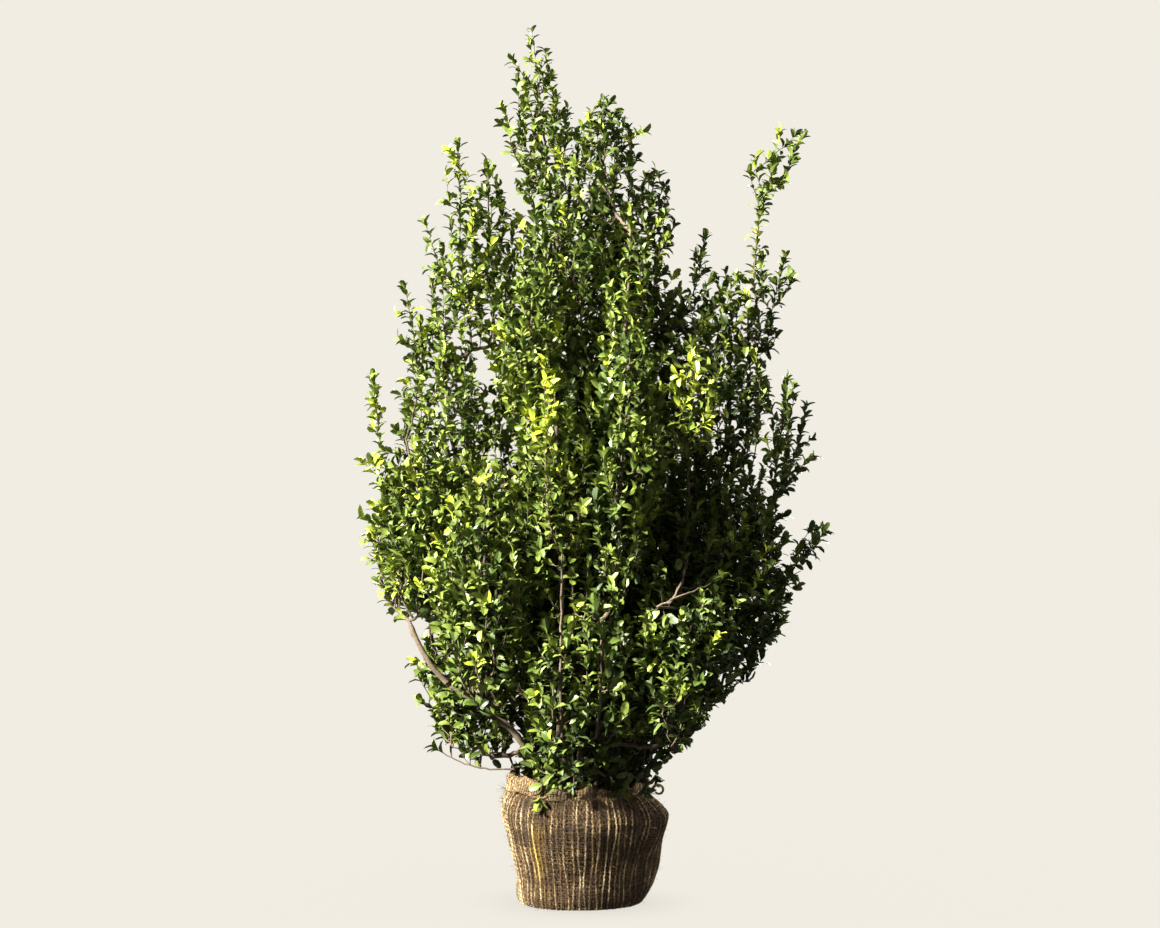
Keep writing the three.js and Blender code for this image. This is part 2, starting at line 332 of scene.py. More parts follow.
def depthOf(filled):
    depth = np.zeros(filled.shape, np.int16)
    left = filled.copy()
    for _ in range(crown["deepest"]):
        depth += left
        padded = np.pad(left, 1)
        left = left.copy()
        for axis in range(3):
            for shift in (-1, 1):
                moved = np.roll(padded, shift, axis)[1:-1, 1:-1, 1:-1]
                left &= moved
    return depth


corner, owner = fillCells()
addSkirt(owner)
addInfill(owner)
filled = owner >= 0
depth = depthOf(filled)
cellCounts = np.bincount(owner[filled], minlength=len(massNames))
narrowMasses = {name for name, cells in zip(massNames, cellCounts) if cells < crown["narrow"]}
airy = np.isin(owner, [massNames.index(name) for name in [*narrowMasses, *crown["airyToo"]]])
roomy = filled.copy()   # the crown grown by one cell
for axis in range(3):
    roomy |= np.roll(filled, 1, axis) | np.roll(filled, -1, axis)
print("crown filled:", int(filled.sum()), "cells")


def cellsAt(points):
    cells = np.floor((points - corner) / crown["cell"]).astype(int)
    return tuple(np.clip(cells, 0, np.array(owner.shape) - 1).T)


# Wood: nodes joined to the node that they grow from, and shoots that run through them
class Wood:
    def __init__(self, most):
        self.place = np.zeros((most, 3))
        self.parent = np.full(most, -1)
        self.reach = np.zeros(most)     # a limb's own radius, and 0 on what grows from it
        self.count, self.shoots = 0, []

    def grow(self, start, points, kind, radii=None):
        first, last = self.count, self.count + len(points)
        self.place[first:last] = points
        self.parent[first:last] = np.concatenate([[start], np.arange(first, last - 1)])
        if radii is not None:
            self.reach[first:last] = radii
        self.count = last
        nodes = np.arange(first, last)
        if start >= 0:
            nodes = np.concatenate([[start], nodes])
        self.shoots.append({"nodes": nodes, "kind": kind})
        return nodes

    def nearest(self, tip, limit=1):
        offset = tip - self.place[:self.count]
        rise = offset[:, 2]
        lift = np.where(rise > 0, rise * growth["climb"], -rise * growth["droop"])
        cost = (offset[:, 0] ** 2 + offset[:, 1] ** 2) * growth["spread"] ** 2 + lift ** 2
        cost = cost + (self.place[:self.count, 2] < growth["lowest"])
        if limit == 1:
            best = int(np.argmin(cost))
            return [best], math.sqrt(cost[best])
        order = np.argpartition(cost, limit)[:limit]
        return order[np.argsort(cost[order])], None


growth = {"nodes": 120000, "step": 0.0092, "climb": 0.5, "spread": 1.5, "droop": 2.4,
          "tipGap": 0.0232, "innerGap": 0.042, "airyGap": 0.031, "innerDepth": 9,
          "shortest": 0.014, "longest": 0.2, "upTurn": 0.8, "leaderTurn": 0.35, "wobble": 0.05,
          "leaderBand": 0.04, "leaderShake": 0.0012,
          "twigRadius": 0.00075, "pipe": 0.35, "thickest": 0.0048,
          "runners": 0.27, "runnerLength": (0.014, 0.034), "runnerDepth": 2, "lowest": 0.25,
          "softened": 12, "shake": 0.0007, "sections": 12, "sunk": 0.012,
          "tucked": (0.252, 0.305), "footReach": 0.086}


# The middle and the radius of a limb where a level plane cuts it
def limbSection(mesh, level):
    ends = np.array([v.co[:] for v in mesh.vertices])
    corners = ends[np.array([p.vertices[:] for p in mesh.polygons])]
    points = []
    for triangle in corners:
        for a, b in ((0, 1), (1, 2), (2, 0)):
            p, q = triangle[a], triangle[b]
            if (p[2] - level) * (q[2] - level) < 0:
                points.append(p + (q - p) * (level - p[2]) / (q[2] - p[2]))
    points = np.array(points)
    middle = (points.max(0) + points.min(0)) / 2
    spread = np.cov((points - middle)[:, :2].T)
    return middle, math.sqrt(2 * max(np.linalg.eigvalsh(spread)[0], 1e-8))


def resample(points, radii, step):
    run = np.concatenate([[0], np.cumsum(np.linalg.norm(np.diff(points, axis=0), axis=1))])
    wanted = np.linspace(0, run[-1], max(3, round(run[-1] / step)))
    columns = [np.interp(wanted, run, points[:, k]) for k in range(3)]
    return np.stack(columns, 1), np.interp(wanted, run, radii)


def evenly(points, step):
    return resample(points, np.zeros(len(points)), step)[0]


def limbLine(name):
    low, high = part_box(name)
    mesh = frame["nodes"][name].data
    levels = np.linspace(low.z + 0.006, high.z - 0.008, growth["sections"])
    sections = [limbSection(mesh, level) for level in levels]
    points, radii = np.array([s[0] for s in sections]), np.array([s[1] for s in sections])
    points = np.concatenate([points[:1] * 2 - points[1:2], points])
    points[0, 2] = low.z - growth["sunk"]       # the foot goes into the soil
    radii = np.concatenate([radii[:1] * 1.1, radii])
    away = np.hypot(points[:, 0], points[:, 1])     # low down every limb stands inside the hem
    fully, least = growth["tucked"]
    share = np.clip((least - points[:, 2]) / (least - fully), 0, 1)
    points[:, :2] *= (1 - share * np.clip(1 - growth["footReach"] / away, 0, 1))[:, None]
    return resample(points, radii, growth["step"])


# A curve from one place to another that ends turned up towards the light
def shootCurve(start, tip, turn, wobble):
    gap = np.linalg.norm(tip - start)
    heading = unit((tip - start) / max(gap, 1e-6) + upward * turn)
    bend = tip - heading * gap * 0.5
    bend += rng.normal(0, wobble, 3) * gap
    steps = max(2, round(gap / growth["step"]))
    return bendOver(start, bend, tip, np.arange(1, steps + 1) / steps)


# The line up the middle of a mass, from its foot to just under its top
def massSpine(index):
    cells = np.argwhere(owner == index)
    levels = cells[:, 2]
    bands = max(2, round((levels.max() - levels.min()) * crown["cell"] / growth["leaderBand"]))
    edges = np.linspace(levels.min(), levels.max() + 1, bands + 1)
    middles = []
    for low, high in zip(edges[:-1], edges[1:]):
        band = cells[(levels >= low) & (levels < high)]
        if len(band):
            middles.append(band.mean(0))
    top = cells[levels == levels.max()].mean(0)
    middles = np.array(middles[:-1] + [top]) if len(middles) > 2 else np.array(middles + [top])
    return corner + (middles + 0.5) * crown["cell"]


def growLeaders(wood):
    spines = {index: massSpine(index) for index in range(len(massNames))}
    while spines:
        costs = {index: wood.nearest(spine[0])[1] for index, spine in spines.items()}
        index = min(costs, key=costs.get)
        spine = spines.pop(index)
        start = wood.nearest(spine[0])[0][0]
        path = shootCurve(wood.place[start], spine[0], growth["leaderTurn"], growth["wobble"])
        route = evenly(np.concatenate([path, spine[1:]]), growth["step"])
        soften(route)
        route[1:-1] += rng.normal(0, growth["leaderShake"], (len(route) - 2, 3))
        wood.grow(start, route, massNames[index])


# Places for the ends of shoots: spread through the crown, closer together near its outside
def shootTips():
    cell = crown["cell"]
    cells = np.argwhere(filled)
    rng.shuffle(cells)
    free = filled.copy()
    taken, stamps = [], []
    for gap in (growth["tipGap"], growth["innerGap"], growth["airyGap"]):
        span = math.ceil(gap / cell)
        around = np.mgrid[-span:span + 1, -span:span + 1, -span:span + 1].reshape(3, -1).T
        stamps.append(around[np.linalg.norm(around, axis=1) * cell < gap])
    inner = depth[tuple(cells.T)] > growth["innerDepth"]
    kinds = np.where(airy[tuple(cells.T)], 2, inner.astype(int))
    for spot, kind in zip(cells, kinds):
        if free[tuple(spot)]:
            taken.append(spot)
            free[tuple((spot + stamps[kind]).T)] = False
    taken = np.array(taken)
    return corner + (taken + rng.uniform(0.1, 0.9, taken.shape)) * cell


def growShoots(wood):
    tips = shootTips()
    order = np.argsort([wood.nearest(tip)[1] for tip in tips])
    for tip in tips[order]:
        nearest, _ = wood.nearest(tip, 6)
        gaps = np.linalg.norm(wood.place[nearest] - tip, axis=1)
        if gaps.min() < growth["shortest"]:
            continue
        inside = roomy[cellsAt((wood.place[nearest] + tip) / 2)]
        start = int(nearest[np.argmax(inside)])
        if np.linalg.norm(wood.place[start] - tip) > growth["longest"]:
            continue
        path = shootCurve(wood.place[start], tip, growth["upTurn"], growth["wobble"])
        kind = "shoot"
        if depth[cellsAt(tip[None])][0] <= growth["runnerDepth"] and rng.random() < growth["runners"]:
            kind = "runner"
            path = np.concatenate([path, runOn(path)])
        wood.grow(start, path, kind)


# A few centimetres more, out of the crown's side and up
def runOn(path):
    tip = path[-1]
    outward = unit(np.array([tip[0], tip[1], 0.0]) + 1e-6)
    heading = outward * rng.uniform(0.2, 0.9) + upward * rng.uniform(0.5, 1.1)
    heading = unit(heading + rng.normal(0, 0.25, 3))
    steps = max(1, round(rng.uniform(*growth["runnerLength"]) / growth["step"]))
    far = tip + heading * growth["step"] * np.arange(1, steps + 1)[:, None]
    return np.clip(far, np.array(cadBox[0]) + 0.004, np.array(cadBox[1]) + (0.012, 0.008, -0.006))


# Bare twigs and stems that show against the crown's front, as shares of its reach and its height.
# Each lies in a furrow of the front. A depth is given where no mass is behind.
stragglers = {
    "lowerFork": {"kind": "bareTwig", "radius": 0.0026, "furrow": 0.024,
                  "route": ((0.30, 0.343), (0.38, 0.355), (0.455, 0.360), (0.52, 0.367))},
    "upperFork": {"kind": "bareTwig", "radius": 0.0028, "furrow": 0.024,
                  "route": ((0.35, 0.347), (0.405, 0.370), (0.437, 0.400), (0.458, 0.418))},
    "leftFront": {"kind": "frontStem", "radius": 0.0034, "furrow": 0.0105,
                  "route": ((-0.078, 0.195), (-0.088, 0.26), (-0.085, 0.33), (-0.08, 0.40))},
    "rightFront": {"kind": "frontStem", "radius": 0.0034, "furrow": 0.0105,
                   "route": ((0.055, 0.20), (0.075, 0.25), (0.078, 0.31))},
    "hangingTwig": {"kind": "hanging", "radius": 0.0021, "furrow": 0.0, "depth": -0.05,
                    "route": ((-0.28, 0.154), (-0.36, 0.1525), (-0.45, 0.156), (-0.53, 0.164),
                              (-0.60, 0.175))},
}


def stragglerLine(straggler):
    spots = np.array(straggler["route"]) * (reach, height)
    points = []
    for x, z in spots:
        i, _, k = (int(part[0]) for part in cellsAt(np.array([[x, 0.0, z]])))
        column = filled[i, :, k]
        y = corner[1] + (np.argmax(column) + 0.5) * crown["cell"]
        points.append((x, straggler.get("depth", y + 0.006), z))
    line = evenly(np.array(points), growth["step"])
    for _ in range(growth["softened"]):
        soften(line)
    return line + rng.normal(0, growth["shake"], line.shape)


# A pit of shade behind the bare fork, as shares of reach and height, with its half sizes
pit = {"middle": (0.415, -0.24, 0.416), "half": (0.065, 0.125, 0.078)}


def cutPit():
    cells = np.argwhere(filled)
    places = corner + (cells + 0.5) * crown["cell"]
    middle = np.array(pit["middle"]) * (reach, 1.0, height)
    apart = (places - middle) / pit["half"]
    filled[tuple(cells[(apart ** 2).sum(1) < 1].T)] = False


def cutFurrow(line, width):
    cells = np.argwhere(filled)
    places = corner + (cells + 0.5) * crown["cell"]
    for point in line:
        apart = places - point
        inFurrow = (np.hypot(apart[:, 0], apart[:, 2]) < width) & (apart[:, 1] < 0.008)
        filled[tuple(cells[inFurrow].T)] = False


def growStragglers(wood):
    for straggler in stragglers.values():
        line = straggler["line"]
        start = wood.nearest(line[0])[0][0]
        path = shootCurve(wood.place[start], line[0], 0.0, 0.02)
        course = np.concatenate([path[:-1], line])
        taper = np.linspace(1.0, 0.5, len(course))
        wood.grow(start, course, straggler["kind"], straggler["radius"] * taper)


for straggler in stragglers.values():
    straggler["line"] = stragglerLine(straggler)
for straggler in stragglers.values():
    if straggler["furrow"]:
        cutFurrow(straggler["line"], straggler["furrow"])
cutPit()
roomy &= filled | (owner < 0)

# Short sprays that arch out over the hem, but not at the left bough's foot and over the curl. The lowest
# hangs at the front.
hemSprays = {"count": 20, "from": (0.106, 0.252), "over": (0.146, 0.264), "to": (0.152, 0.236),
             "bare": ((150, 238), (338, 378)), "lowest": (-121, 0.214)}


def isBare(degrees):
    turn = degrees % 360
    return any(low < turn < high or low < turn + 360 < high for low, high in hemSprays["bare"])


def growHemSprays(wood):
    turns = [360 * k / hemSprays["count"] + rng.normal(0, 5) for k in range(hemSprays["count"])]
    for degrees, bottom in [(turn, None) for turn in turns] + [hemSprays["lowest"]]:
        if bottom is None and isBare(degrees):
            continue
        outward = outwardAt(math.radians(degrees))
        places = [hemSprays[key] for key in ("from", "over", "to")]
        corners = [outward * away + upward * level for away, level in places]
        corners[2][2] = bottom or corners[2][2] + rng.uniform(-0.008, 0.018)
        corners[1:] = [spot + rng.normal(0, 0.005, 3) for spot in corners[1:]]
        line = bendOver(*corners, np.linspace(0, 1, 9))
        wood.grow(wood.nearest(line[0])[0][0], line, "hemSpray")


wood = Wood(growth["nodes"])
for name in limbNames:
    line, lineRadii = limbLine(name)
    wood.grow(-1, line, "limb", lineRadii)
growLeaders(wood)
growStragglers(wood)
growHemSprays(wood)
growShoots(wood)

# How many shoot ends each node carries, and from that how thick it is
load = np.zeros(wood.count)
for shoot in wood.shoots:
    load[shoot["nodes"][-1]] += 1
for node in range(wood.count - 1, -1, -1):
    if wood.parent[node] >= 0:
        load[wood.parent[node]] += load[node]
radius = growth["twigRadius"] * load ** growth["pipe"]
isLimb = wood.reach[:wood.count] > 0
radius = np.where(isLimb, wood.reach[:wood.count], np.minimum(radius, growth["thickest"]))
print("wood grown:", wood.count, "nodes in", len(wood.shoots), "shoots")


# Limbs: a ring of bark drawn out along each stem, with the bark's relief
barkSettings = {"sides": 14, "girth": 0.76, "ridge": 0.00055, "knot": 0.0013}


def barkMaterial(name, pale, dark, speckle):
    graph = Graph(name)
    streaks = graph.noise(90.0, 4.0, (1.0, 1.0, 0.3))
    patches = graph.ramp(graph.noise(14.0, 3.0), [(0.38, 0.0), (0.66, 1.0)])
    spots = graph.ramp(graph.noise(260.0, 1.0, (1.0, 1.0, 1.6)), [(0.62, 0.0), (0.7, 1.0)])
    colour = graph.mix(streaks, dark, pale)
    colour = graph.mix(patches * 0.55, colour, tuple(c * 0.5 for c in dark))
    colour = graph.mix(spots * 0.6, colour, speckle)
    bumps = graph.bump(streaks * 0.7 + graph.noise(420.0, 2.0) * 0.3, 0.0012)
    return graph.surface({"Base Color": colour, "Roughness": 0.62 + streaks * 0.3, "Normal": bumps})


def growBark(mesh, points, radii):
    sides = barkSettings["sides"]
    ring = bmesh.ops.create_circle(mesh, radius=1.0, segments=sides)["verts"]
    edges = list({edge for v in ring for edge in v.link_edges})
    along = unit(np.gradient(points, axis=0))
    turn = Vector((0, 0, 1)).rotation_difference(Vector(along[0])).to_matrix()
    bmesh.ops.scale(mesh, verts=ring, vec=(radii[0],) * 3)
    bmesh.ops.rotate(mesh, verts=ring, matrix=turn)
    bmesh.ops.translate(mesh, verts=ring, vec=points[0])
    shell = list(ring)
    for k in range(1, len(points)):
        drawn = bmesh.ops.extrude_edge_only(mesh, edges=edges)["geom"]
        ring = [g for g in drawn if isinstance(g, bmesh.types.BMVert)]
        edges = [g for g in drawn if isinstance(g, bmesh.types.BMEdge)]
        back = Matrix.Translation(-Vector(points[k - 1]))
        turn = Vector(along[k - 1]).rotation_difference(Vector(along[k])).to_matrix()
        bmesh.ops.scale(mesh, verts=ring, vec=(radii[k] / radii[k - 1],) * 3, space=back)
        bmesh.ops.rotate(mesh, verts=ring, matrix=turn, cent=points[k - 1])
        bmesh.ops.translate(mesh, verts=ring, vec=points[k] - points[k - 1])
        shell += ring
    return shell


def makeLimbs():
    mesh = bmesh.new()
    for shoot in wood.shoots:
        if shoot["kind"] == "limb":
            nodes = shoot["nodes"]
            points, radii = resample(wood.place[nodes], wood.reach[nodes], 0.0055)
            radii *= barkSettings["girth"]
            radii[-3:] *= (0.92, 0.8, 0.6)
            growBark(mesh, points, radii)
    bmesh.ops.holes_fill(mesh, edges=mesh.edges[:])
    bmesh.ops.recalc_face_normals(mesh, faces=mesh.faces[:])
    mesh.normal_update()
    for v in mesh.verts:
        spot = v.co * 160
        ridges = noise.fractal(Vector((spot.x, spot.y, spot.z * 0.28)), 1.0, 2.0, 3)
        knots = max(0.0, noise.noise(v.co * 42) - 0.28)
        v.co += v.normal * (ridges * barkSettings["ridge"] + knots * barkSettings["knot"] * 3)
    bark = barkMaterial("bark", (0.215, 0.160, 0.102), (0.085, 0.060, 0.040), (0.32, 0.26, 0.18))
    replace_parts(makeShaped("stemsAndBoughs", mesh, bark), *limbNames)


makeLimbs()


# Boughs and twigs, thinner with every fork
def sidesFor(thickness):
    return 3 if thickness < 0.0014 else 4 if thickness < 0.0026 else 7


def makeTwigs():
    oldWood, youngWood = Heap(), Heap()
    for shoot in wood.shoots:
        if shoot["kind"] == "limb":
            continue
        nodes = shoot["nodes"]
        points, radii = wood.place[nodes], radius[nodes].copy()
        radii[0] = min(radii[0], radii[1])
        course = unit(points[-1] - points[0])
        across = np.cross(course, unit(rng.normal(0, 1, 3)))
        heap = oldWood if radii[0] > 0.0012 else youngWood
        heap.add(*tube(points, radii, sidesFor(radii[0]), unit(across)))
    old = barkMaterial("twigBark", (0.2, 0.145, 0.1), (0.07, 0.045, 0.035), (0.3, 0.24, 0.17))
    young = barkMaterial("youngTwig", (0.13, 0.1, 0.045), (0.055, 0.03, 0.022), (0.16, 0.12, 0.07))
    makePiece("boughs", oldWood, old)
    makePiece("twigs", youngWood, young)


makeTwigs()

# Leaves
leaf = {"length": (0.0165, 0.0262), "lowest": 1.10, "highest": 0.86, "width": 0.54,
        "rows": (0.16, 0.5, 0.86), "halfWidths": (0.62, 1.0, 0.74),
        "fold": (0.14, 0.7), "droop": (0.16, 0.2), "cup": 0.4,
        "carried": 8.0, "onLeaders": 400.0, "outside": 45.0, "second": 0.48, "atTip": 4, "most": 15500,
        "kept": {"bareTwig": 0.07, "frontStem": 0.6, "hanging": 0.5, "hemSpray": 0.75},
        "closest": 34, "opening": 6, "widestLean": 58, "unevenLean": 14,
        "tuft": {"closest": 12, "opening": 13, "uneven": 6, "rise": 0.004},
        "upFacing": 0.55, "uneven": 0.28, "roughness": 0.43, "clear": {"below": 0.235, "within": 0.15},
        "ageing": 0.9, "ageingReach": 0.3, "past": 0.021}


# A leaf laid flat: how far each point is to the side and along, and the triangles between them
def leafPattern():
    mesh = bmesh.new()
    rows = len(leaf["rows"])
    bmesh.ops.create_grid(mesh, x_segments=2, y_segments=rows - 1, size=1.0)
    shelf = sorted({round(v.co.y, 5) for v in mesh.verts})
    for v in mesh.verts:
        row = shelf.index(round(v.co.y, 5))
        v.co = (v.co.x * leaf["halfWidths"][row], leaf["rows"][row], 0.0)
    for y, row in ((0.0, 0), (1.0, rows - 1)):
        line = leaf["rows"][row]
        ends = [e for e in mesh.edges if all(abs(v.co.y - line) < 1e-5 for v in e.verts)]
        point = mesh.verts.new((0.0, y, 0.0))
        for edge in ends:
            mesh.faces.new([*edge.verts, point])
    bmesh.ops.triangulate(mesh, faces=mesh.faces[:])
    bmesh.ops.recalc_face_normals(mesh, faces=mesh.faces[:])
    if sum(face.normal.z for face in mesh.faces) < 0:
        bmesh.ops.reverse_faces(mesh, faces=mesh.faces[:])
    mesh.verts.index_update()
    spots = np.array([v.co[:2] for v in mesh.verts])
    triangles = np.array([[v.index for v in face.verts] for face in mesh.faces])
    mesh.free()
    return spots, triangles


# Where each leaf sits: on young wood, one for each node in a spiral, and a tuft at each end
def leafSeats():
    seats = {key: [] for key in ("at", "along", "turn", "lean", "size", "shoot", "radius")}
    tuft = leaf["tuft"]
    for number, shoot in enumerate(wood.shoots):
        if shoot["kind"] == "limb":
            continue
        nodes = shoot["nodes"]
        points = wood.place[nodes]
        along = unit(np.gradient(points, axis=0))
        phase = rng.uniform(0, 2 * math.pi)
        isLeader = shoot["kind"] in narrowMasses
        most = leaf["onLeaders"] if isLeader else leaf["carried"]
        kept = leaf["kept"].get(shoot["kind"], 1.0)
        buried = depth[cellsAt(points)]
        limits = np.where((buried > 0) & (buried <= 3), max(most, leaf["outside"]), most)
        leafy = [k for k in range(1, len(nodes)) if load[nodes[k]] <= limits[k]]
        for k in leafy:
            if rng.random() < 0.7 * load[nodes[k]] / limits[k] or rng.random() > kept:
                continue
            lean = min(leaf["closest"] + leaf["opening"] * (len(nodes) - 1 - k), leaf["widestLean"])
            lean = math.radians(lean + rng.normal(0, leaf["unevenLean"]))
            turn = phase + k * goldenAngle
            pushSeat(seats, points[k], along[k], turn, lean, number, radius[nodes[k]])
            if rng.random() < (1.0 if isLeader else leaf["second"]):
                spot = (points[k] + points[k - 1]) / 2
                pushSeat(seats, spot, along[k], turn + 0.55 * math.pi, lean, number, radius[nodes[k]])
        if leafy and leafy[-1] == len(nodes) - 1:
            for extra in range(leaf["atTip"]):
                lean = tuft["closest"] + tuft["opening"] * extra + rng.normal(0, tuft["uneven"])
                lean = math.radians(lean)
                turn = phase + (len(nodes) + extra) * goldenAngle
                spot = points[-1] + along[-1] * tuft["rise"] * (leaf["atTip"] - extra) / 2
                pushSeat(seats, spot, along[-1], turn, lean, number, radius[nodes[-1]])
    return {key: np.array(value) for key, value in seats.items()}


def pushSeat(seats, at, along, turn, lean, shoot, thickness):
    share = at[2] / height
    grown = leaf["lowest"] * (1 - share) + leaf["highest"] * share
    seat = {"at": at, "along": along, "turn": turn + rng.normal(0, 0.25), "lean": lean,
            "size": rng.uniform(*leaf["length"]) * grown, "shoot": shoot, "radius": thickness}
    for key, value in seat.items():
        seats[key].append(value)


def leafAxes(seats):
    along = seats["along"]
    loose = np.where(np.abs(along[:, 2:]) > 0.9, np.array([[1.0, 0, 0]]), np.array([[0, 0, 1.0]]))
    first = unit(np.cross(along, loose))
    second = np.cross(along, first)
    out = np.cos(seats["turn"])[:, None] * first + np.sin(seats["turn"])[:, None] * second
    lean = seats["lean"][:, None]
    heading = unit(along * np.cos(lean) + out * np.sin(lean))
    face = along * np.sin(lean) - out * np.cos(lean)
    face = face + upward * leaf["upFacing"] + rng.normal(0, leaf["uneven"], face.shape)
    face = unit(face - heading * (face * heading).sum(1, keepdims=True))
    return heading, face, np.cross(heading, face), out


def leafMaterial(name, first, second):
    graph = Graph(name)
    cloud = graph.ramp(graph.noise(22.0, 2.0), [(0.35, 0.0), (0.65, 1.0)])
    grain = graph.noise(240.0, 2.0)
    bumps = graph.bump(graph.noise(330.0, 2.0), 0.0006, 0.6)
    return graph.surface({"Base Color": graph.mix(cloud, first, second),
                          "Roughness": leaf["roughness"] + grain * 0.14, "Normal": bumps,
                          "Specular IOR Level": 0.6, "Coat Weight": 0.12, "Coat Roughness": 0.36})


# Each kind of leaf: its share of all the leaves, oldest first, and the two tints that it varies between
leafKinds = [
    {"name": "deepLeaves", "share": 0.25, "tints": ((0.032, 0.059, 0.009), (0.050, 0.080, 0.011))},
    {"name": "greenLeaves", "share": 0.33, "tints": ((0.071, 0.119, 0.016), (0.102, 0.149, 0.019))},
    {"name": "midLeaves", "share": 0.30, "tints": ((0.124, 0.181, 0.023), (0.168, 0.220, 0.028))},
    {"name": "brightLeaves", "share": 0.085, "tints": ((0.168, 0.230, 0.032), (0.215, 0.275, 0.040))},
    {"name": "freshLeaves", "share": 0.035, "tints": ((0.340, 0.420, 0.036), (0.440, 0.510, 0.045))},
]


# How fresh a spray is, from 0 for the oldest dark leaves to 1 for this spring's. The left term is partly
# painted light: sprays towards the left, the side the key light comes from, get lighter and yellower leaves
# as well as fresher growth. Sprays low down and near the very top are made darker.
freshness = {"varies": (1.7, 2.1), "spread": 0.66, "least": -0.06, "near": 0.12, "left": 0.17,
             "low": 0.26, "lowShare": 0.46, "top": 0.12, "topShare": 0.75,
             "runner": 0.08, "narrow": 0.06, "freshMass": 0.28, "leaf": 0.07}


def freshnessAndLitSideOf(shoot):
    tip = wood.place[shoot["nodes"][-1]]
    cell = cellsAt(tip[None])
    mass = massNames[owner[cell][0]] if owner[cell][0] >= 0 else ""
    near = 1 - min(depth[cell][0], 6) / 6
    left = 0.5 - 0.5 * tip[0] / reach
    share, top = tip[2] / height, freshness["topShare"]
    fresh = rng.beta(*freshness["varies"]) * freshness["spread"] + freshness["least"]
    # Painted light: sprays on the left, where the key light falls, are made lighter and yellower, along with
    # their fresher growth
    fresh += freshness["near"] * near + freshness["left"] * left
    fresh -= freshness["low"] * max(0.0, 1 - share / freshness["lowShare"])
    fresh -= freshness["top"] * max(0.0, share - top) / (1 - top)
    if shoot["kind"] == "runner":
        fresh += freshness["runner"]
    if mass in narrowMasses:
        fresh += freshness["narrow"]
    if mass in freshMasses:
        low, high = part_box(mass)
        fresh += freshness["freshMass"] * (tip[2] - low.z) / (high.z - low.z)
    return fresh


# A leaf is as fresh as its shoot, painted light on the lit left side included, and older the further it is
# below the shoot's tip
def leafFreshnessAndLitSide(seats):
    shootFresh = np.array([freshnessAndLitSideOf(shoot) for shoot in wood.shoots])
    fresh = shootFresh[seats["shoot"]] + rng.normal(0, freshness["leaf"], len(seats["size"]))
    tips = np.array([wood.place[shoot["nodes"][-1]][2] for shoot in wood.shoots])
    below = tips[seats["shoot"]] - seats["at"][:, 2]
    return fresh - leaf["ageing"] * np.clip(below, 0, leaf["ageingReach"])


# Leaves stay inside the crown or on its loose shoots, off the hem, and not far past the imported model's box
def keptLeaves(seats, heading):
    at, size, clear = seats["at"], seats["size"][:, None], leaf["clear"]
    loose = {"runner", "bareTwig", "frontStem", "hanging", "hemSpray"} | narrowMasses
    free = np.array([shoot["kind"] in loose for shoot in wood.shoots])
    keep = roomy[cellsAt(at + heading * size * 0.7)] | free[seats["shoot"]]
    keep &= ~((at[:, 2] < clear["below"]) & (np.hypot(at[:, 0], at[:, 1]) < clear["within"]))
    ends = at + heading * size
    low, high = np.array(cadBox[0]) - leaf["past"], np.array(cadBox[1]) + leaf["past"]
    return keep & (ends > low).all(1) & (ends < high).all(1)


def layLeaves(seats, axes, some, pattern):
    heading, face, side, out = (axis[some][:, None, :] for axis in axes)
    spots, triangles = pattern
    spine, flare = spots[:, 1], np.abs(spots[:, 0])
    scale = seats["size"][some][:, None]
    width = scale * leaf["width"] / 2 * rng.uniform(0.85, 1.12, scale.shape)
    fold = rng.uniform(*leaf["fold"], scale.shape)
    droop = rng.normal(*leaf["droop"], scale.shape)
    foot = seats["at"][some][:, None, :] + out * seats["radius"][some][:, None, None] * 0.6
    lift = flare * width * fold + scale * (leaf["cup"] * spine * (1 - spine) - droop * spine ** 2)
    points = foot + heading * (scale * spine)[:, :, None]
    points = points + side * (spots[:, 0] * width)[:, :, None] + face * lift[:, :, None]
    faces = triangles[None] + (np.arange(len(some)) * len(spots))[:, None, None]
    heap = Heap()
    heap.add(points.reshape(-1, 3), faces.reshape(-1, 3))
    return heap


def makeLeaves():
    seats = leafSeats()
    axes = leafAxes(seats)
    keep = keptLeaves(seats, axes[0])
    fresh = leafFreshnessAndLitSide(seats)
    pattern = leafPattern()
    steps = np.cumsum([0.0] + [kind["share"] for kind in leafKinds])
    limits = np.quantile(fresh[keep], steps / steps[-1])
    for low, high, kind in zip(limits[:-1], limits[1:], leafKinds):
        chosen = np.flatnonzero(keep & (fresh >= low) & (fresh < high))
        material = leafMaterial(kind["name"], *kind["tints"])
        parts = max(1, math.ceil(len(chosen) / leaf["most"]))
        for part, some in enumerate(np.array_split(chosen, parts)):
            name = kind["name"] + ("" if part == 0 else str(part + 1))
            piece = makePiece(name, layLeaves(seats, axes, some, pattern), material)
            creaseMidribs(piece.data, pattern[0])
            if name == "greenLeaves":
                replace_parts(piece, *[n for n in massNames if n not in freshMasses])
            if name == "freshLeaves":
                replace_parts(piece, *sorted(freshMasses))
    print("leaves:", int(keep.sum()))


# The fold along each leaf's midrib stays sharp
def creaseMidribs(mesh, spots):
    onRib = np.abs(spots[:, 0]) < 1e-6
    ends = np.zeros(len(mesh.edges) * 2, np.int32)
    mesh.edges.foreach_get("vertices", ends)
    sharp = onRib[ends.reshape(-1, 2) % len(spots)].all(1)
    mesh.attributes.new("sharp_edge", "BOOLEAN", "EDGE").data.foreach_set("value", sharp)


makeLeaves()

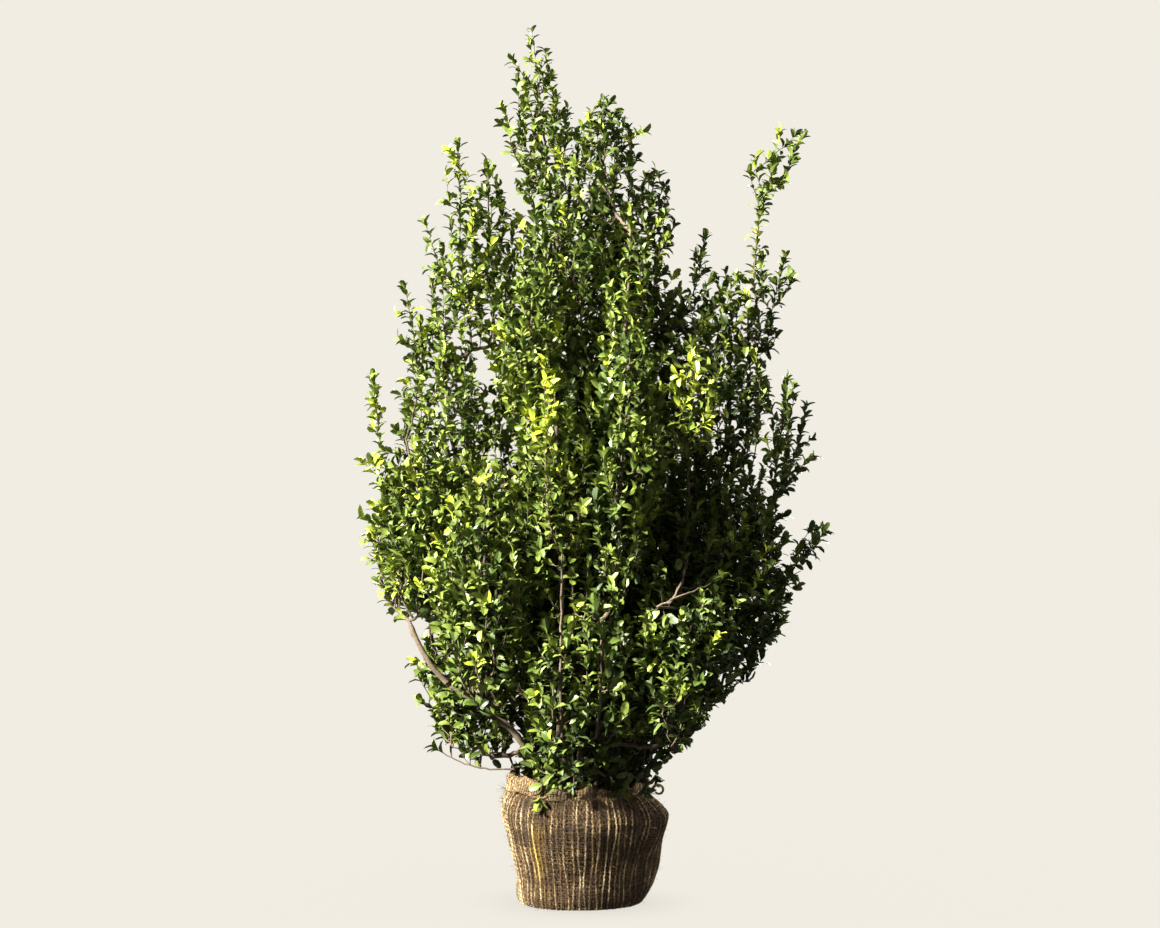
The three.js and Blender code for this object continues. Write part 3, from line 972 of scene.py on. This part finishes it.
# Root ball: soil, and burlap of twisted ribs and fine threads over it
ball = {"ribGap": 0.0142, "ribRadius": 0.00102, "ribWidth": 0.0019,
        "threadGap": 0.0044, "threadRadius": 0.00075, "between": 3, "sink": 0.0018,
        "dents": 16, "dentDepth": 0.0019, "columns": 180, "rows": 60, "top": 0.0085, "steps": 240,
        "foot": {"by": 0.011, "width": 0.6, "over": 0.034},
        "shoulder": {"by": 0.021, "width": 0.75, "from": 0.172, "over": 0.032}}
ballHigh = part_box("root_ball")[1]
ballTree = treeOf("root_ball")
clothTop = ballHigh.z - ball["top"]


def anyPhase():
    return rng.uniform(0, 6.3)


# A wave along a line, as quick as chance makes it between two limits
def waveAlong(line, slowest, quickest):
    return np.sin(line * rng.uniform(slowest, quickest) + anyPhase())


def ballReach(angle, level):
    outward = Vector(outwardAt(angle))
    far = Vector((0, 0, level)) + outward * 0.4
    hit = ballTree.ray_cast(far, -outward, 0.5)
    return 0.4 - hit[3]


# The ball's side, dented by handling and pressed in at the right, at its foot and its shoulder
def makeReachTable():
    angles = np.linspace(-math.pi, math.pi, ball["columns"] + 1)
    levels = np.linspace(0.001, clothTop, ball["rows"])
    table = np.array([[ballReach(a, z) for a in angles] for z in levels])
    turn, rise = np.meshgrid(angles, levels)
    for _ in range(ball["dents"]):
        around, up = rng.integers(1, 9), rng.uniform(8, 60)
        swell = np.sin(around * turn + anyPhase()) * np.sin(up * rise + anyPhase())
        table += swell * ball["dentDepth"] / around ** 0.5 * np.minimum(rise / 0.04, 1)
    foot, shoulder = ball["foot"], ball["shoulder"]
    table -= foot["by"] * np.exp(-(turn / foot["width"]) ** 2) * np.clip(1 - rise / foot["over"], 0, 1)
    table -= (shoulder["by"] * np.exp(-(turn / shoulder["width"]) ** 2)
              * np.clip((rise - shoulder["from"]) / shoulder["over"], 0, 1))
    return levels, table


reachLevels, reachTable = makeReachTable()


def ballSurface(angle, level, lift):
    angle = (np.asarray(angle) + math.pi) % (2 * math.pi) - math.pi
    column = (angle + math.pi) / (2 * math.pi) * ball["columns"]
    span = reachLevels[-1] - reachLevels[0]
    row = np.clip((level - reachLevels[0]) / span * (ball["rows"] - 1), 0, ball["rows"] - 1.001)
    i, j = np.floor(row).astype(int), np.minimum(np.floor(column).astype(int), ball["columns"] - 1)
    u, v = row - i, column - j
    wide = (reachTable[i, j] * (1 - u) * (1 - v) + reachTable[i + 1, j] * u * (1 - v)
            + reachTable[i, j + 1] * (1 - u) * v + reachTable[i + 1, j + 1] * u * v) + lift
    return np.stack([np.cos(angle) * wide, np.sin(angle) * wide, np.broadcast_to(level, wide.shape)], -1)


# An ochre streak down the front at the left, and mud below it
def soiled(graph, colour, ochre):
    streak = graph.patch((-0.080, -0.112, 0.118), (0.031, 0.07, 0.15))
    mud = graph.patch((-0.076, -0.09, 0.012), (0.052, 0.075, 0.045))
    return graph.mix(mud * 0.85, graph.mix(streak * 0.72, colour, ochre), (0.07, 0.042, 0.018))


def soilMaterial():
    graph = Graph("dampSoil")
    crumbs = graph.noise(170.0, 5.0)
    damp = graph.ramp(graph.noise(12.0, 3.0), [(0.38, 0.0), (0.62, 1.0)])
    colour = graph.mix(crumbs, (0.025, 0.015, 0.009), (0.075, 0.045, 0.023))
    colour = soiled(graph, graph.mix(damp * 0.75, colour, (0.024, 0.014, 0.008)), (0.09, 0.055, 0.012))
    return graph.surface({"Base Color": colour, "Roughness": 0.85 + crumbs * 0.12,
                          "Normal": graph.bump(crumbs, 0.004)})


# A line of points drawn once round the middle of the plant
def spinRound(mesh, points, steps):
    start = [mesh.verts.new(point) for point in points]
    line = [mesh.edges.new(pair) for pair in zip(start, start[1:])]
    bmesh.ops.spin(mesh, geom=start + line, cent=(0, 0, 0), axis=(0, 0, 1), angle=2 * math.pi,
                   steps=steps, use_merge=True)


def makeSoil():
    mesh = bmesh.new()
    levels = np.concatenate([[0.0012], np.linspace(0.006, clothTop, 58)])
    side = [ballSurface(0.0, z, -ball["sink"]) for z in levels]
    lid = [(side[-1][0] * share, 0, ballHigh.z - 0.004 - 0.004 * share) for share in (0.85, 0.6, 0.3, 0.0)]
    spinRound(mesh, [(0, 0, 0.0012), *side, *lid], ball["steps"])
    bmesh.ops.remove_doubles(mesh, verts=mesh.verts[:], dist=1e-5)
    bmesh.ops.recalc_face_normals(mesh, faces=mesh.faces[:])
    for v in mesh.verts:
        if 0.002 < v.co.z < clothTop + 1e-4 and math.hypot(v.co.x, v.co.y) > 0.01:
            v.co = ballSurface(math.atan2(v.co.y, v.co.x), v.co.z, -ball["sink"])
    mesh.normal_update()
    for v in mesh.verts:
        if v.co.z > 0.004:
            v.co += v.normal * (noise.fractal(v.co * 90, 1.0, 2.0, 4) * 0.0013 - 0.0008)
    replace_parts(makeShaped("soilBall", mesh, soilMaterial()), "root_ball")


# The pale and the dark of each piece of yarn
yarnTints = {"strawRibs": ((0.66, 0.52, 0.31), (0.24, 0.165, 0.080)),
             "tanRibs": ((0.42, 0.30, 0.155), (0.12, 0.077, 0.036)),
             "brownRibs": ((0.20, 0.130, 0.064), (0.058, 0.036, 0.018)),
             "threads": ((0.155, 0.102, 0.050), (0.035, 0.022, 0.011)),
             "fineWarp": ((0.155, 0.100, 0.049), (0.028, 0.018, 0.009)),
             "hemRibs": ((0.50, 0.37, 0.20), (0.14, 0.092, 0.046)),
             "hemThreads": ((0.25, 0.165, 0.075), (0.09, 0.056, 0.026)),
             "frayedCurl": ((0.36, 0.25, 0.115), (0.14, 0.09, 0.042)),
             "looseFibres": ((0.36, 0.25, 0.11), (0.16, 0.1, 0.042))}


def yarnMaterial(name, pale, dark):
    graph = Graph(name)
    fibres = graph.noise(520.0, 3.0, (1.0, 1.0, 0.4))
    beads = graph.ramp(graph.noise(230.0, 2.0), [(0.38, 0.0), (0.6, 1.0)])
    grime = graph.ramp(graph.noise(24.0, 5.0), [(0.42, 0.0), (0.58, 1.0)])
    colour = graph.mix(beads, dark, pale)
    colour = graph.mix(grime * 0.8, colour, (0.040, 0.026, 0.015))
    colour = soiled(graph, colour, (pale[0] * 0.85, pale[1] * 0.80, pale[2] * 0.30))
    return graph.surface({"Base Color": colour, "Roughness": 0.92, "Specular IOR Level": 0.15,
                          "Normal": graph.bump(fibres, 0.0007)})


def makeYarn(name, heap):
    return makePiece(name, heap, yarnMaterial(name, *yarnTints[name]))


# How often ribs of each tint, the palest first, come at the left and at the right
ribKinds = ("strawRibs", "tanRibs", "brownRibs")
ribDeal = {"left": (0.40, 0.44, 0.16), "right": (0.38, 0.42, 0.20)}


def ribKind(angle):
    side = "left" if math.cos(angle) < -0.4 else "right"
    return rng.choice(ribKinds, p=ribDeal[side])


# A rib is a pair of yarns that zigzags from thread to thread, fat where it lies on top of one and thin
# where it dives under
def makeRibs():
    count = round(2 * math.pi * reachTable.max() / ball["ribGap"])
    heaps = {name: Heap() for name in ribKinds}
    level = np.arange(0.0035, clothTop, ball["threadGap"] / 4)
    wide = reachTable.mean()
    for k in range(count):
        angle = 2 * math.pi * (k + rng.normal(0, 0.1)) / count
        sway = 0.014 * waveAlong(level, 14, 30)
        sway += 0.008 * waveAlong(level, 50, 90)
        heap = heaps[ribKind(angle)]
        for strand, share in ((0.0, 1.0), (0.6 * math.pi, 0.6)):
            phase = level / ball["threadGap"] * math.pi + strand
            onTop = np.abs(np.cos(phase))
            shift = np.sin(phase) * ball["ribWidth"] / wide * rng.uniform(0.6, 1.3, len(level))
            points = ballSurface(angle + sway + shift, level, 0.002 * onTop - 0.0006)
            radii = ball["ribRadius"] * share * (0.12 + 0.98 * onTop) * rng.uniform(0.7, 1.2, len(level))
            heap.add(*tube(points, radii, 3, outwardAt(angle)))
    for name, heap in heaps.items():
        makeYarn(name, heap)
    return count


# Fine threads lie round the ball, and a warp as fine runs up between the ribs
def makeThreads(ribs):
    threads, warp = Heap(), Heap()
    angle = np.linspace(-math.pi, math.pi, ribs * 4 + 1)
    seam = np.sin((angle + math.pi) / 2) ** 0.2
    for level in np.arange(0.005, clothTop, ball["threadGap"]):
        drift = 0.0015 * np.sin(angle * 3 + anyPhase()) + 0.001 * np.sin(angle * 11 + anyPhase())
        drift = (drift + rng.normal(0, 0.0006, len(angle))) * seam
        lift = 0.0002 + 0.0006 * np.sin(angle * ribs * 2 + level / ball["threadGap"] * math.pi)
        radii = ball["threadRadius"] * rng.uniform(0.5, 1.4, len(angle))
        threads.add(*tube(ballSurface(angle, level + drift, lift), radii, 3, upward))
    level = np.arange(0.004, clothTop, ball["threadGap"] / 2)
    for k in range(ribs * ball["between"]):
        turn = 2 * math.pi * (k + rng.normal(0, 0.18)) / (ribs * ball["between"])
        phase = level / ball["threadGap"] * math.pi + (k % 2) * math.pi / 2
        sway = 0.01 * waveAlong(level, 20, 60) + rng.normal(0, 0.002, len(level))
        points = ballSurface(turn + sway, level, 0.0008 * np.cos(phase))
        radii = ball["threadRadius"] * rng.uniform(0.5, 1.3, len(level))
        warp.add(*tube(points, radii, 3, outwardAt(turn)))
    makeYarn("threads", threads)
    makeYarn("fineWarp", warp)


makeSoil()
ribCount = makeRibs()
makeThreads(ribCount)

# Hem: the cloth comes up over the shoulder, lies in towards the stems and is rolled back outwards
hem = {"height": 0.2205, "from": 0.2165, "steps": 300, "rows": 15, "thickness": 0.0009,
       "ruffles": ((4, 0.0024), (7, 0.0022), (13, 0.0022), (29, 0.0016)),
       "creases": 0.0045, "creaseScale": 46.0,
       "raised": (-2.65, 0.5, 0.007), "dipped": (-1.25, 0.8, -0.0095),
       "profile": ((-0.034, 0.000), (-0.020, 0.002), (-0.009, 0.008), (-0.003, 0.0145), (0.0015, 0.0155),
                   (0.0045, 0.010), (0.0035, 0.002), (0.0055, -0.005), (0.0085, -0.0085))}
phases = rng.uniform(0, 6.3, (len(hem["ruffles"]), 2))


def swellAt(angle, place, width, size):
    apart = (angle - place + math.pi) % (2 * math.pi) - math.pi
    return size * np.exp(-(apart / width) ** 2)


# Outwards and upwards along the hem's section, from its inner edge at 0 to its rolled edge at 1
def profileAt(share):
    profile = np.array(hem["profile"])
    spots = np.linspace(0, 1, len(profile))
    return np.stack([np.interp(share, spots, profile[:, k]) for k in (0, 1)], -1)


def hemSurface(angle, share, lift=0.0):
    angle, share = np.broadcast_arrays(np.asarray(angle, float), np.asarray(share, float))
    section = profileAt(share)
    ahead = np.minimum(share + 0.03, 1.0)
    slope = unit(profileAt(ahead) - profileAt(ahead - 0.06))
    ruffle, wave = np.zeros(angle.shape), np.zeros(angle.shape)
    for (times, size), (first, second) in zip(hem["ruffles"], phases):
        ruffle += size * np.sin(times * angle + first + 1.3 * share)
        wave += size * np.sin(times * angle + second - 0.8 * share)
    around = np.stack([np.cos(angle), np.sin(angle), share * 0.35], -1).reshape(-1, 3)
    around = around * 0.13 * hem["creaseScale"]
    crease = np.array([noise.fractal(Vector(spot), 0.8, 2.1, 3) for spot in around]).reshape(angle.shape)
    crease = crease * hem["creases"]
    loose = 0.3 + 0.7 * np.sin(math.pi * np.clip(share * 1.1, 0, 1)) + 0.25 * share
    rise = swellAt(angle, *hem["raised"]) + swellAt(angle, *hem["dipped"])
    leans = ballSurface(angle, np.full(angle.shape, hem["from"]), 0.0)
    wide = np.hypot(leans[..., 0], leans[..., 1]) + section[..., 0] + (wave + crease) * loose
    wide = wide - slope[..., 1] * lift
    tall = hem["height"] + section[..., 1] + (ruffle + rise + crease * 0.8) * loose
    tall = tall + slope[..., 0] * lift
    return np.stack([np.cos(angle) * wide, np.sin(angle) * wide, tall], -1)


def clothMaterial():
    graph = Graph("hemCloth")
    weave = graph.noise(300.0, 2.0)
    grime = graph.ramp(graph.noise(20.0, 3.0), [(0.4, 0.0), (0.6, 1.0)])
    colour = graph.mix(weave, (0.07, 0.044, 0.021), (0.21, 0.14, 0.065))
    colour = graph.mix(grime * 0.8, colour, (0.04, 0.025, 0.013))
    return graph.surface({"Base Color": colour, "Roughness": 0.9, "Normal": graph.bump(weave, 0.001)})


# The cloth is drawn round as a flat ring first, and each point's place on it says its share of the section
def makeHem():
    mesh = bmesh.new()
    shares = np.linspace(0, 1, hem["rows"])
    spinRound(mesh, [(0.1 + 0.05 * share, 0, 0.2) for share in shares], hem["steps"])
    for v in mesh.verts:
        share = (math.hypot(v.co.x, v.co.y) - 0.1) / 0.05
        v.co = hemSurface(math.atan2(v.co.y, v.co.x), share)
    bmesh.ops.recalc_face_normals(mesh, faces=mesh.faces[:])
    bmesh.ops.solidify(mesh, geom=mesh.faces[:], thickness=hem["thickness"])
    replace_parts(makeShaped("hemCloth", mesh, clothMaterial()), "burlap_hem")


def makeHemYarns(ribs):
    ribHeap, threadHeap = Heap(), Heap()
    share = np.linspace(0.02, 0.99, 34)
    for k in range(ribs * 2):
        angle = math.pi * (k + rng.normal(0, 0.1)) / ribs
        across = np.array([-math.sin(angle), math.cos(angle), 0.0])
        for strand in (0, math.pi):
            phase = share * 34 + strand
            onTop = np.abs(np.cos(phase))
            points = hemSurface(angle + np.sin(phase) * 0.011, share, 0.0004 + 0.001 * onTop)
            ribHeap.add(*tube(points, ball["ribRadius"] * (0.25 + 0.6 * onTop), 3, across))
    angle = np.linspace(-math.pi, math.pi, hem["steps"] + 1)
    for level in np.linspace(0.05, 0.98, 13):
        points = hemSurface(angle, level + 0.012 * np.sin(angle * 5 + 9 * level), 0.0007)
        radii = ball["threadRadius"] * rng.uniform(0.8, 1.3, len(angle))
        threadHeap.add(*tube(points, radii, 3, upward))
    makeYarn("hemRibs", ribHeap)
    makeYarn("hemThreads", threadHeap)


makeHem()
makeHemYarns(ribCount)

# The frayed end of the hem that curls over at the right, and loose fibres
fray = {"plies": 5, "ply": 0.00125, "twist": 0.0021, "loop": 0.0112, "turns": 0.86, "step": 0.0011,
        "hairs": 800, "hemHairs": 420, "hair": 0.00024, "hairLength": (0.003, 0.012),
        "hemHairLength": (0.006, 0.02), "ends": 9, "end": 0.0007, "endLength": (0.009, 0.016)}


def curlLine():
    low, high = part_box("burlap_curl")
    inset = fray["loop"] + 0.004
    middle = np.array([high.x - inset, (low.y + high.y) / 2, high.z - inset])
    turn = np.linspace(0.95 * math.pi, (0.95 - 2 * fray["turns"]) * math.pi, 40)
    shrink = fray["loop"] * np.linspace(1.0, 0.62, 40)
    sideways = np.linspace(-0.004, 0.007, 40)
    loop = middle + np.stack([np.cos(turn) * shrink, sideways, np.sin(turn) * shrink], 1)
    foot = loop[0] + np.array([[-0.024, 0.004, -0.006], [-0.012, 0.002, -0.007], [-0.003, 0.001, -0.005]])
    return evenly(np.concatenate([foot, loop]), fray["step"])


def makeCurl():
    heap, line = Heap(), curlLine()
    backward = np.array([0.0, 1.0, 0.0])
    along = unit(np.gradient(line, axis=0))
    side = unit(np.cross(along, backward))
    front = np.cross(side, along)
    run = np.arange(len(line))
    taper = np.linspace(1.0, 0.65, len(line))[:, None]
    for ply in range(fray["plies"]):
        turn = run * 0.42 + ply * 2 * math.pi / fray["plies"]
        spread = fray["twist"] * taper * (1 + 0.25 * rng.normal(0, 0.3, (len(line), 1)))
        points = line + (side * np.cos(turn)[:, None] + front * np.sin(turn)[:, None]) * spread
        heap.add(*tube(points, fray["ply"] * taper[:, 0], 5, backward))
    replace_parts(makeYarn("frayedCurl", heap), "burlap_curl")


def addHair(heap, foot, heading, length, thickness):
    bend = rng.normal(0, 0.45, 3)
    t = np.linspace(0, 1, 5)[:, None]
    points = foot + heading * length * t + (bend * 0.5 - upward * 0.15) * length * t ** 2
    across = unit(np.cross(heading, rng.normal(0, 1, 3)))
    heap.add(*tube(points, thickness * np.linspace(1.0, 0.5, 5), 3, across))


def makeFibres():
    heap = Heap()
    for _ in range(fray["hairs"]):
        angle, level = rng.uniform(-math.pi, math.pi), rng.uniform(0.004, clothTop)
        foot = ballSurface(np.array([angle]), np.array([level]), 0.0)[0]
        heading = unit(outwardAt(angle) * rng.uniform(0.3, 1.0) + rng.normal(0, 0.55, 3))
        addHair(heap, foot, heading, rng.uniform(*fray["hairLength"]), fray["hair"])
    for _ in range(fray["hemHairs"]):
        angle = rng.uniform(-math.pi, math.pi)
        foot = hemSurface(np.array([angle]), np.array([0.99 if rng.random() < 0.7 else 0.45]))[0]
        heading = unit(outwardAt(angle, rng.uniform(-0.8, 0.4)) + rng.normal(0, 0.4, 3))
        addHair(heap, foot, heading, rng.uniform(*fray["hemHairLength"]), fray["hair"] * 1.4)
    for _ in range(fray["ends"]):
        level = rng.uniform(0.186, 0.205)
        foot = ballSurface(np.array([math.pi]), np.array([level]), -0.001)[0]
        heading = unit(np.array([-1.0, rng.normal(0, 0.3), rng.uniform(0.0, 0.7)]))
        addHair(heap, foot, heading, rng.uniform(*fray["endLength"]), fray["end"])
    makeYarn("looseFibres", heap)


makeCurl()
makeFibres()

# Stage: floor, backdrop colour, lights and camera
stage = {"floorSize": 60.0, "cream": (0.880, 0.847, 0.768), "glow": 0.86, "ambient": 0.17, "ballBelow": 0.27,
         "cameraAway": 5.0, "cameraSide": -0.004, "cameraShare": 0.4975, "frameWidth": 2.204, "sensor": 36.0}
lights = {"keyLight": {"from": (-0.83, -0.50, 0.60), "strength": 21.5, "spread": 8.0,
                       "tint": (1.0, 0.955, 0.87)},
          "backLight": {"from": (0.30, 0.86, 0.46), "strength": 4.5, "spread": 30.0, "tint": (1, 1, 1)},
          "ballFill": {"from": (0.9, -0.35, 0.2), "strength": 2.6, "spread": 60.0, "tint": (1, 1, 1)},
          "floorLight": {"from": (0, 0, 1), "strength": 2.62, "spread": 50.0, "tint": (1, 1, 1)}}


def makeFloor():
    mesh = bmesh.new()
    bmesh.ops.create_grid(mesh, x_segments=1, y_segments=1, size=stage["floorSize"])
    data = bpy.data.meshes.new("floor")
    mesh.to_mesh(data)
    mesh.free()
    floor = addThing("floor", data)
    dim = tuple(c * (1 - stage["glow"]) for c in stage["cream"])
    paint = {"Base Color": (*dim, 1.0), "Roughness": 1.0, "Specular IOR Level": 0.0,
             "Emission Strength": stage["glow"], "Emission Color": (*stage["cream"], 1.0)}
    data.materials.append(Graph("floorPaint").surface(paint))
    floor.visible_diffuse = False
    floor.visible_glossy = False
    return floor


def makeWorld():
    world = bpy.data.worlds.new("studio")
    world.use_nodes = True
    tree = world.node_tree
    back = tree.nodes["Background"]
    back.inputs["Color"].default_value = (*stage["cream"], 1.0)
    path = tree.nodes.new("ShaderNodeLightPath")
    dimmer = tree.nodes.new("ShaderNodeMapRange")
    dimmer.inputs["To Min"].default_value = stage["ambient"]
    dimmer.inputs["To Max"].default_value = 1.0
    tree.links.new(path.outputs["Is Camera Ray"], dimmer.inputs["Value"])
    tree.links.new(dimmer.outputs[0], back.inputs["Strength"])
    bpy.context.scene.world = world


def addSun(name, receivers):
    light, data = lights[name], bpy.data.lights.new(name, "SUN")
    data.energy, data.angle, data.color = light["strength"], math.radians(light["spread"]), light["tint"]
    lamp = addThing(name, data)
    lamp.rotation_euler = Vector(light["from"]).to_track_quat("Z", "Y").to_euler()
    lamp.light_linking.receiver_collection = receivers
    return lamp


# The key lights the plant alone, with a weak light behind it and a fill for the burlap's shaded side.
# The floor glows in the backdrop's own colour and has a light of its own. Only the ball keeps that light
# off it, which leaves a faint shadow where the two touch.
def lightStage(floor):
    names = ("plantSet", "floorSet", "ballSet")
    plantSet, floorSet, ballSet = (bpy.data.collections.new(name) for name in names)
    floorSet.objects.link(floor)
    for thing in bpy.context.scene.objects:
        if thing.type == "MESH" and thing is not floor:
            plantSet.objects.link(thing)
            if max(edge[2] for edge in thing.bound_box) < stage["ballBelow"]:
                ballSet.objects.link(thing)
    for name, receivers in (("keyLight", plantSet), ("backLight", plantSet), ("ballFill", ballSet)):
        addSun(name, receivers)
    addSun("floorLight", floorSet).light_linking.blocker_collection = ballSet


def addCamera():
    data = bpy.data.cameras.new("camera")
    data.sensor_width = stage["sensor"]
    data.lens = data.sensor_width * stage["cameraAway"] / stage["frameWidth"]
    camera = addThing("camera", data)
    camera.location = (stage["cameraSide"], -stage["cameraAway"], height * stage["cameraShare"])
    camera.rotation_euler = (math.pi / 2, 0, 0)
    bpy.context.scene.camera = camera


makeWorld()
lightStage(makeFloor())
addCamera()
bpy.context.scene.view_settings.view_transform = "Standard"
print("stage set")
